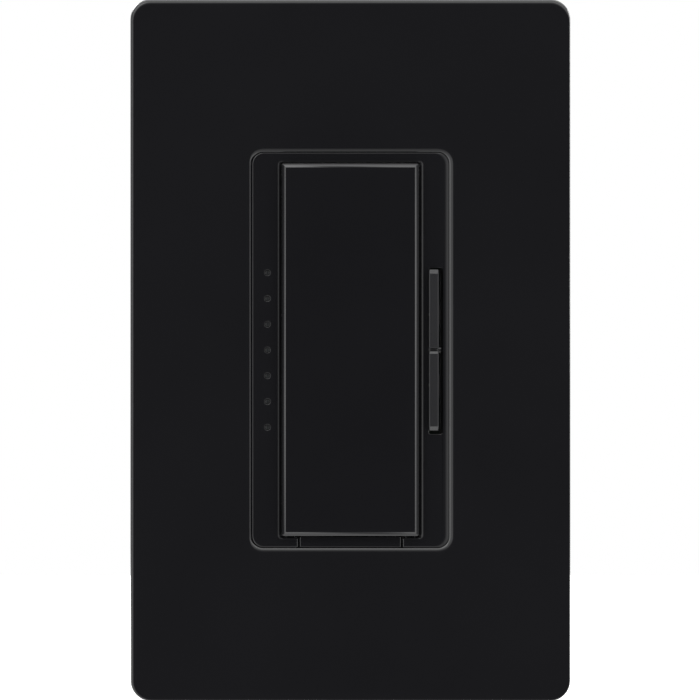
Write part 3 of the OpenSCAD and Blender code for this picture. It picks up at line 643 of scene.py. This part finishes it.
# ---------------------------------------------------------------- bezel
def bezel():
    gap = 0.08  # more room above and below than the CAD's, as the photo shows
    half_w, half_h, back = BEZEL_HIGH[0], BEZEL_HIGH[2] - gap, BEZEL_HIGH[1]
    win_w, win_h = WINDOW[0] / 2, WINDOW[1] / 2
    notch, rod, corner, wall = 8.9, 2.8, 2, 1.3  # notch and rod: half widths at the tab
    plate = [(notch, -half_h, 0.25), (half_w, -half_h, corner), (half_w, half_h, corner),
             (-half_w, half_h, corner), (-half_w, -half_h, corner), (-notch, -half_h, 0.25),
             (-notch, -win_h, 0.25), (-win_w, -win_h, 0.4), (-win_w, win_h, 0.4),
             (win_w, win_h, 0.4), (win_w, -win_h, 0.4), (notch, -win_h, 0.25)]
    # how wide each side's rounding is: foot, right, top, left, foot, notch, window, notch
    share = [0.5, 1.7, 0.3, 0.4, 0.5, 0.3, 0.6, 0.8, 0.6, 1.1, 0.6, 0.3]
    # painted shadow: the slot leaves a wider gap right of and below the rocker than left of and
    # above it, so that dark gap stands in for the rocker's shadow on the bezel
    slot = rectangle(2.33, 28.25, 0.35, (ROCKER_X + 0.33, -0.17))
    holes = [(slot, arc_edge(0.08, 40, 3), SHARP)]
    holes += [(circle(0.5, c, 20), arc_edge(0.09, 52, 4), SHARP) for c in LIGHTS]
    shape = Shape()
    shape.prism(plate, BEZEL_FACE, BEZEL_INNER, arc_edge(0.6, 20), SHARP, holes, share, steps=8)
    for s in (-1, 1):  # ribs that close the view past the paddle's sides
        shape.block((11.67, -31.6, BEZEL_FACE + 0.45), (12.3, 31.6, BEZEL_INNER), 0.05,
                    place=lambda u, v, w, s=s: (s * u, w, v))

    in_w, in_h = half_w - wall, half_h - wall
    skirt = [(rod, -half_h, 0), (half_w, -half_h, corner), (half_w, half_h, corner),
             (-half_w, half_h, corner), (-half_w, -half_h, corner), (-rod, -half_h, 0),
             (-rod, -in_h, 0), (-in_w, -in_h, 0.8), (-in_w, in_h, 0.8), (in_w, in_h, 0.8),
             (in_w, -in_h, 0.8), (rod, -in_h, 0)]
    shape.prism(skirt, BEZEL_INNER, back, SHARP, round_edge(0.15, 2), steps=8)
    boss = [(0, BEZEL_INNER), (1.5, BEZEL_INNER), (2.1, BEZEL_INNER + 0.3), (2.1, back - 0.15),
            (1.95, back), (1.3, back), (1.15, back - 0.2), (1.15, -5.8), (0, -5.8)]
    for centre in BOSSES:
        shape.turned(boss, centre)
    lug_x, lug_end = HINGE_REACH[0], 13.7
    pin = [(circle(0.88, HINGE, 20), SHARP, SHARP)]
    for s in (-1, 1):
        shape.prism(rectangle(2.2, 2.6, 0.2, (-5.5, HINGE[1])), lug_x, lug_end, round_edge(0.1, 2),
                    SHARP, pin, steps=2, place=lambda u, v, w, s=s: (s * w, u, v))
    pivot = [(circle(0.68, (HINGE[0], 0), 20), SHARP, SHARP)]
    shape.prism(rectangle(1.9, 3.2, 0.15, (-5.65, 0)), lug_x, 12.8, SHARP, SHARP, pivot, steps=2,
                place=side_view)
    replace_node("bezel", shape)


# ---------------------------------------------------------------- light pipe
def light_pipe():
    low, high = box_mm("light_pipe")
    bar_back = BEZEL_INNER + 1.2
    lap = 0.05  # how far the tips and feet run into the bar
    tip = BEZEL_FACE + 0.32
    dome = [(0, tip), (0.3, tip), (0.4, tip + 0.03), (0.45, tip + 0.1), (0.47, tip + 0.2),
            (0.48, BEZEL_INNER + lap), (0, BEZEL_INNER + lap)]
    foot = [(0, bar_back - lap), (0.7, bar_back - lap), (0.7, high[1] - 0.1), (0.6, high[1]),
            (0, high[1])]
    shape = Shape()
    shape.block((low[0], low[2], BEZEL_INNER), (high[0], high[2], bar_back), 0.1)
    for c in LIGHTS:
        shape.turned(dome, c, sides=24)
        shape.turned(foot, c, sides=20)
    replace_node("light_pipe", shape)


# ---------------------------------------------------------------- paddle
def tap_paddle():
    half_w, half_h = PADDLE_HALF
    face, back = PADDLE_LOW[1], -6.95
    inner = face + PADDLE_T
    wall, rib = 1.2, 0.4  # the skirt's thickness and half a rib's
    lift = 0.04  # half of what the lower edge is raised by, to show the gap over the tab
    shape = Shape()
    outline = rectangle(2 * half_w, 2 * (half_h - lift), 0.3, (0, lift))
    cavity = rectangle(2 * (half_w - wall), 2 * (half_h - wall), 0.3)
    shape.prism(outline, face, inner, bevel_edge(0.65, 0.5, 0.1, 0.08), SHARP, steps=4)
    shape.prism(outline, inner, back, SHARP, round_edge(0.1, 2),
                [(cavity, SHARP, round_edge(0.1, 2))], steps=4)
    in_w, in_h = half_w - 1.1, half_h - 1.1
    for x in (-5, 5):
        shape.block((x - rib, -in_h, inner - 0.1), (x + rib, in_h, back - 0.05), 0.08)
    for z in (-20, -10, 10, 20):
        shape.block((-in_w, z - rib, inner - 0.1), (in_w, z + rib, back - 0.05), 0.08)
    tip = box_mm("tap_plunger")[0][1] - 0.05
    shape.turned([(0, inner - 0.1), (1.7, inner - 0.1), (1.5, inner + 0.1), (1.5, tip - 0.1),
                  (1.4, tip), (0, tip)])
    pin_start, pin_end = half_w - 0.3, HINGE_REACH[1]
    pin = [(0, pin_start), (0.8, pin_start), (0.8, pin_end - 0.15), (0.65, pin_end), (0, pin_end)]
    for s in (-1, 1):
        def mirrored(u, v, w, s=s):
            return (s * u, w, v)
        shape.block((half_w - wall, HINGE[1] - 1.1, inner), (half_w - 0.01, HINGE[1] + 1.1, -4.6),
                    0.15, place=mirrored)
        shape.turned(pin, HINGE, place=lambda u, v, w, s=s: (s * w, u, v))
        # the two catches at the lower edge
        shape.block((9.4, -half_h + 0.01, inner), (11, -half_h + wall, -5.8), 0.1, place=mirrored)
        shape.block((9.4, PADDLE_LOW[2], -6.38), (11, -half_h + 0.2, -5.8), 0.1, place=mirrored)
    replace_node("tap_paddle", shape, "paddle")


# ---------------------------------------------------------------- rocker
def dimming_rocker():
    half_x = 0.81
    x0, x1 = ROCKER_X - half_x, ROCKER_X + half_x
    top, face, back = 13.65, ROCKER_LOW[1], -6.55
    slope, rise, fall, groove = 0.7, 0.45, 0.55, 1  # end facets, then the middle groove's depth
    outline = [(back, -top, 0.1), (back, top, 0.1), (face + rise, top, 0.1),
               (face, top - slope, 0.12), (face, 0.4, 0.1), (face + groove, 0.3, 0.05),
               (face + groove, -0.1, 0.05), (face + 0.25, -0.2, 0.05), (face, -0.62, 0.1),
               (face, -top + slope, 0.12), (face + fall, -top, 0.1)]
    pin_r, end_0, end_1 = 0.6, ROCKER_LOW[0], ROCKER_HIGH[0]
    pin = [(0, end_0), (pin_r - 0.1, end_0), (pin_r, end_0 + 0.1), (pin_r, end_1 - 0.1),
           (pin_r - 0.1, end_1), (0, end_1)]
    shape = Shape()
    edge = round_edge(0.15, 4)
    shape.prism(outline, x0, x1, edge, edge, place=side_view, steps=3)
    shape.block((13.0, -1.4, -6.1), (x1, 1.4, ROCKER_HIGH[1]), 0.12)
    shape.turned(pin, (HINGE[0], 0), place=side_view, sides=24)
    replace_node("dimming_rocker", shape, "rocker")


# ---------------------------------------------------------------- air-gap tab
def air_gap_tab():
    face, end, half = TAB_LOW[1], TAB_HIGH[1], TAB_HIGH[0]
    bottom, top = TAB_LOW[2] + 0.1, -31.66
    rod_top, rod_low, rod_half = -31.83, -32.73, 2.5
    shape = Shape()
    body = rectangle(2 * half, top - bottom, 0.12, (0, (top + bottom) / 2))
    shape.prism(body, face, BEZEL_INNER, round_edge(0.18, 4), round_edge(0.1, 2), steps=3)
    shape.block((-rod_half, rod_low, BEZEL_INNER - 0.1), (rod_half, rod_top, end), 0.12)
    # the ramp's root lies inside the rod
    ramp_start, ramp_full, ramp_half = 2.4, 7, 1.2
    ramp = [(ramp_start, rod_top - 0.6, 0), (end - 0.01, rod_top - 0.6, 0),
            (end - 0.01, TAB_HIGH[2], 0.15), (ramp_full, TAB_HIGH[2], 0.3),
            (ramp_start, rod_top - 0.18, 0)]
    shape.prism(ramp, -ramp_half, ramp_half, round_edge(0.08, 2), round_edge(0.08, 2),
                place=side_view, steps=3)
    replace_node("air_gap_tab", shape, "air_gap_slider")


# ---------------------------------------------------------------- screws
COARSE_PITCH = 0.794  # 32 threads to the inch


def box_screws():
    low, high = box_mm("box_screws")
    top = low[1]
    head = [(2.5, top), (2.9, top + 0.15), (3.2, top + 0.5), (3.3, top + 0.8), (3.3, top + 1.8),
            (3.2, top + 1.9), (1.3, top + 1.9), (1.3, 0)]
    shape = Shape()
    for z in (-BOX_Z, BOX_Z):
        shape.screw(head, crossed_slot(2.2, 0.9, 0.75), 1.0, (1.42, 1.75, COARSE_PITCH, high[1]),
                    lambda u, v, w, z=z: (u, w, z + v))
    replace_node("box_screws", shape)


def adapter_screws():
    low, high = box_mm("adapter_screws")
    top = low[1]
    head = [(2.2, top), (2.7, top + 0.15), (3.2, top + 0.45), (3.45, top + 0.7), (1.5, top + 2.3)]
    shape = Shape()
    for z in (-ADAPTER_Z, ADAPTER_Z):
        shape.screw(head, crossed_slot(2.0, 0.8, 0.7), 0.9, (1.38, 1.7, COARSE_PITCH, high[1]),
                    lambda u, v, w, z=z: (u, w, z + v))
    replace_node("adapter_screws", shape)


def housing_screws():
    """These come from the back, so w is measured from there."""
    low, high = box_mm("housing_screws")
    top = -high[1]
    head = [(1.5, top), (1.8, top + 0.12), (1.97, top + 0.4), (2, top + 0.7), (2, top + 1.6),
            (0.85, top + 1.6)]
    shape = Shape()
    for x, z in BOSSES:
        shape.screw(head, crossed_slot(1.2, 0.5, 1.0), 0.9, (0.85, 1.1, 0.9, -low[1]),
                    lambda u, v, w, x=x, z=z: (x + u, -w, z + v), 20)
    replace_node("housing_screws", shape)


def wiring_screws():
    """The three terminal screws and the ground screw share a head; w is 0 under it."""
    head = [(3.2, -2.0), (3.5, -1.9), (3.8, -1.6), (3.9, -1.3), (3.9, -0.1), (3.8, 0), (1.65, 0)]
    slot, depth, minor, major, pitch = crossed_slot(2.9, 1.0, 0.75), 1.1, 1.65, 2, 0.79
    seat_x, terminal_y, ground_at = 19.3, 8.6, (13, 5, -37.6)
    terminal, ground = Shape(), Shape()
    for side, z in TERMINALS:
        terminal.screw(head, slot, depth, (minor, major, pitch, 2.9),
                       lambda u, v, w, s=side, z=z: (s * (seat_x - w), terminal_y + u, z + v))
    replace_node("terminal_screws", terminal)
    x, y, z = ground_at
    ground.screw(head, slot, depth, (minor, major, pitch, 2.6),
                 lambda u, v, w: (x + u, y + v, w + z))
    replace_node("ground_screw", ground)


# ---------------------------------------------------------------- choke
def choke_winding():
    """Turns of one wire round the core's section."""
    low, high = box_mm("choke_winding")
    x0, y0, z0 = [(a + b) / 2 for a, b in zip(low, high)]
    outer, half = (high[0] - low[0]) / 2, (high[1] - low[1]) / 2
    inner, wire, turns, sides = 3.4, 0.5, 30, 8  # wire is its radius
    covered = 0.94  # of the full circle, which leaves a gap between the two ends
    mid, reach, rise = (outer + inner) / 2, (outer - inner) / 2 - wire, half - wire
    section = rounded([(reach, -rise, 0.6), (reach, rise, 0.6), (-reach, rise, 0.6),
                       (-reach, -rise, 0.6)], 3)
    total = len(section) * turns
    path = []
    for k in range(total):
        off, up = section[k % len(section)]
        angle = 2 * math.pi * (k / total) * covered
        path.append(Vector((x0 + (mid + off) * math.cos(angle), y0 + up,
                            z0 + (mid + off) * math.sin(angle))))
    shape, rings = Shape(), []
    for k, here in enumerate(path):
        along = (path[min(k + 1, total - 1)] - path[max(k - 1, 0)]).normalized()
        radial = Vector((here.x - x0, 0, here.z - z0)).normalized()
        across = along.cross(Vector((0, 1, 0)).cross(radial)).normalized()
        side = along.cross(across)
        rings.append(shape.loop([here + (across * c + side * s) * wire * 0.96
                                 for c, s in spokes(sides)]))
    shape.tube(rings)
    replace_node("choke_winding", shape, sharp=80)


cover_plate()
bezel()
box_screws()
adapter_screws()
housing_screws()
wiring_screws()
choke_winding()
light_pipe()
tap_paddle()
dimming_rocker()
air_gap_tab()


# ---------------------------------------------------------------- CAD nodes that stay
def soften(node, width=0.06):
    """Shared vertices, a small rounded edge and flat faces kept flat."""
    weld = node.modifiers.new("weld", "WELD")
    weld.merge_threshold = 2e-6
    edge = node.modifiers.new("edge", "BEVEL")
    edge.width = width * MM
    edge.segments = 2
    edge.limit_method = "ANGLE"
    edge.angle_limit = math.radians(40)
    edge.use_clamp_overlap = True
    weighted(node)


for name, node in frame["nodes"].items():
    if node.hide_render:
        continue
    node.data.materials.clear()
    node.data.materials.append(finish_for(SLOT_OF[name]))
    node.data.polygons.foreach_set("use_smooth", [True] * len(node.data.polygons))
    soften(node)


# ---------------------------------------------------------------- floor
def floor():
    """A pale floor behind the plate's face, under its lower edge."""
    low = cad_bounds[0].z
    half, near, far = 0.3, cad_bounds[0].y + 0.002, 0.45
    corners = [(-half, near, low), (half, near, low), (half, far, low), (-half, far, low)]
    data = bpy.data.meshes.new("floor")
    data.from_pydata(corners, [], [(0, 1, 2, 3)])
    made = bpy.data.objects.new("floor", data)
    SCENE.collection.objects.link(made)
    pale = Finish("floor_finish", 0.9)
    pale.colour(pale.ramp(pale.noise(60, 2), [(0.3, (0.8, 0.8, 0.8)), (0.7, (0.83, 0.83, 0.83))]))
    pale.shader.inputs["Emission Color"].default_value = (1, 1, 1, 1)
    pale.shader.inputs["Emission Strength"].default_value = 0.85
    data.materials.append(pale.material)


# ---------------------------------------------------------------- light
# radiance at degrees off the axis that points out of the plate's face, towards each side
ABOVE = [(0, 0.03), (12, 0.05), (25, 0.5), (38, 1.4), (50, 3.4), (60, 3.7), (71, 1.6), (78, 1.7),
         (90, 4.0), (130, 2.4), (180, 1.0)]
BELOW = [(0, 0.03), (12, 0.04), (26, 0.7), (48, 1.0), (60, 1.3), (69, 2.4), (84, 2.4), (100, 0.6),
         (180, 0.6)]
LEFT = [(0, 0.03), (9, 0.05), (19, 1.6), (34, 1.5), (46, 2.3), (56, 4.0), (62, 3.6), (70, 0.05),
        (79, 0.05), (90, 1.1), (110, 1.0), (180, 1.0)]
RIGHT = [(0, 0.03), (9, 0.05), (19, 1.2), (38, 1.3), (50, 2.4), (58, 4.0), (63, 3.4), (70, 0.4),
         (79, 0.4), (90, 1.2), (110, 1.0), (180, 1.0)]
BRIGHTEST = 4.0


def surroundings():
    """White behind the object; around it, light that depends on the direction."""
    world = bpy.data.worlds.new("studio")
    SCENE.world = world
    world.use_nodes = True
    tree = world.node_tree
    tree.nodes.clear()

    def add(kind, **settings):
        node = tree.nodes.new(kind)
        for key, value in settings.items():
            setattr(node, key, value)
        return node

    def calc(operation, *values):
        node = add("ShaderNodeMath", operation=operation)
        for socket, value in zip(node.inputs, values):
            if isinstance(value, float):
                socket.default_value = value
            else:
                tree.links.new(value, socket)
        return node.outputs[0]

    def squared(value):
        return calc("MULTIPLY", value, value)

    def profile(angle, stops):
        """The radiance at an angle, as a part of the brightest."""
        node = add("ShaderNodeValToRGB")
        node.color_ramp.interpolation = "EASE"
        line = node.color_ramp.elements
        while len(line) < len(stops):
            line.new(0.5)
        for element, (degrees, level) in zip(line, stops):
            element.position = degrees / 180
            element.color = (*[level / BRIGHTEST] * 3, 1)
        tree.links.new(angle, node.inputs["Fac"])
        return node.outputs["Color"]

    split = add("ShaderNodeSeparateXYZ")
    tree.links.new(add("ShaderNodeTexCoord").outputs["Generated"], split.inputs[0])
    x, y, z = split.outputs
    off_axis = calc("DIVIDE", calc("ARCCOSINE", calc("MULTIPLY", y, -1.0)), math.pi)
    sideways = calc("ADD", calc("ADD", squared(x), squared(z)), 1e-5)
    total = None
    for axis, sign, stops in ((z, 1.0, ABOVE), (z, -1.0, BELOW), (x, -1.0, LEFT), (x, 1.0, RIGHT)):
        facing = calc("MAXIMUM", calc("MULTIPLY", axis, sign), 0.0)
        share = calc("DIVIDE", squared(facing), sideways)
        part = calc("MULTIPLY", calc("MULTIPLY", profile(off_axis, stops), share), BRIGHTEST)
        total = calc("ADD", total, part) if total else part
    seen = add("ShaderNodeBackground")
    seen.inputs["Color"].default_value = (1, 1, 1, 1)
    lit = add("ShaderNodeBackground")
    tree.links.new(total, lit.inputs["Strength"])
    choice = add("ShaderNodeMixShader")
    tree.links.new(add("ShaderNodeLightPath").outputs["Is Camera Ray"], choice.inputs[0])
    tree.links.new(lit.outputs[0], choice.inputs[1])
    tree.links.new(seen.outputs[0], choice.inputs[2])
    tree.links.new(choice.outputs[0], add("ShaderNodeOutputWorld").inputs["Surface"])


def softbox(name, place, size, watts):
    """A soft rectangular light aimed at the origin, where the object is."""
    data = bpy.data.lights.new(name, "AREA")
    data.shape = "RECTANGLE"
    data.size, data.size_y = size
    data.energy = watts
    made = bpy.data.objects.new(name, data)
    SCENE.collection.objects.link(made)
    made.location = place
    made.rotation_euler = (-Vector(place)).to_track_quat("-Z", "Y").to_euler()
    made.visible_camera = False


def camera():
    """Square to the face, and far enough off to show this height at the plate's rim."""
    shown_height, rim_depth = 0.11884, 0.0009
    data = bpy.data.cameras.new("camera")
    data.lens, data.sensor_width = 250, 36
    data.shift_x = -0.0005
    data.clip_start, data.clip_end = 0.01, 20
    made = bpy.data.objects.new("camera", data)
    SCENE.collection.objects.link(made)
    rim = COVER_LOW[1] * MM + rim_depth
    made.location = (0, rim - shown_height * data.lens / data.sensor_width, 0)
    made.rotation_euler = (math.pi / 2, 0, 0)
    SCENE.camera = made


floor()
surroundings()
softbox("key", (-0.42, -0.42, 0.5), (0.5, 0.5), 0.7)
softbox("back_left", (-0.5, 0.6, 0.5), (0.35, 0.35), 4)
softbox("back_right", (0.6, 0.5, 0.2), (0.25, 0.4), 2.5)
camera()
SCENE.view_settings.view_transform = "Standard"
SCENE.view_settings.look = "None"
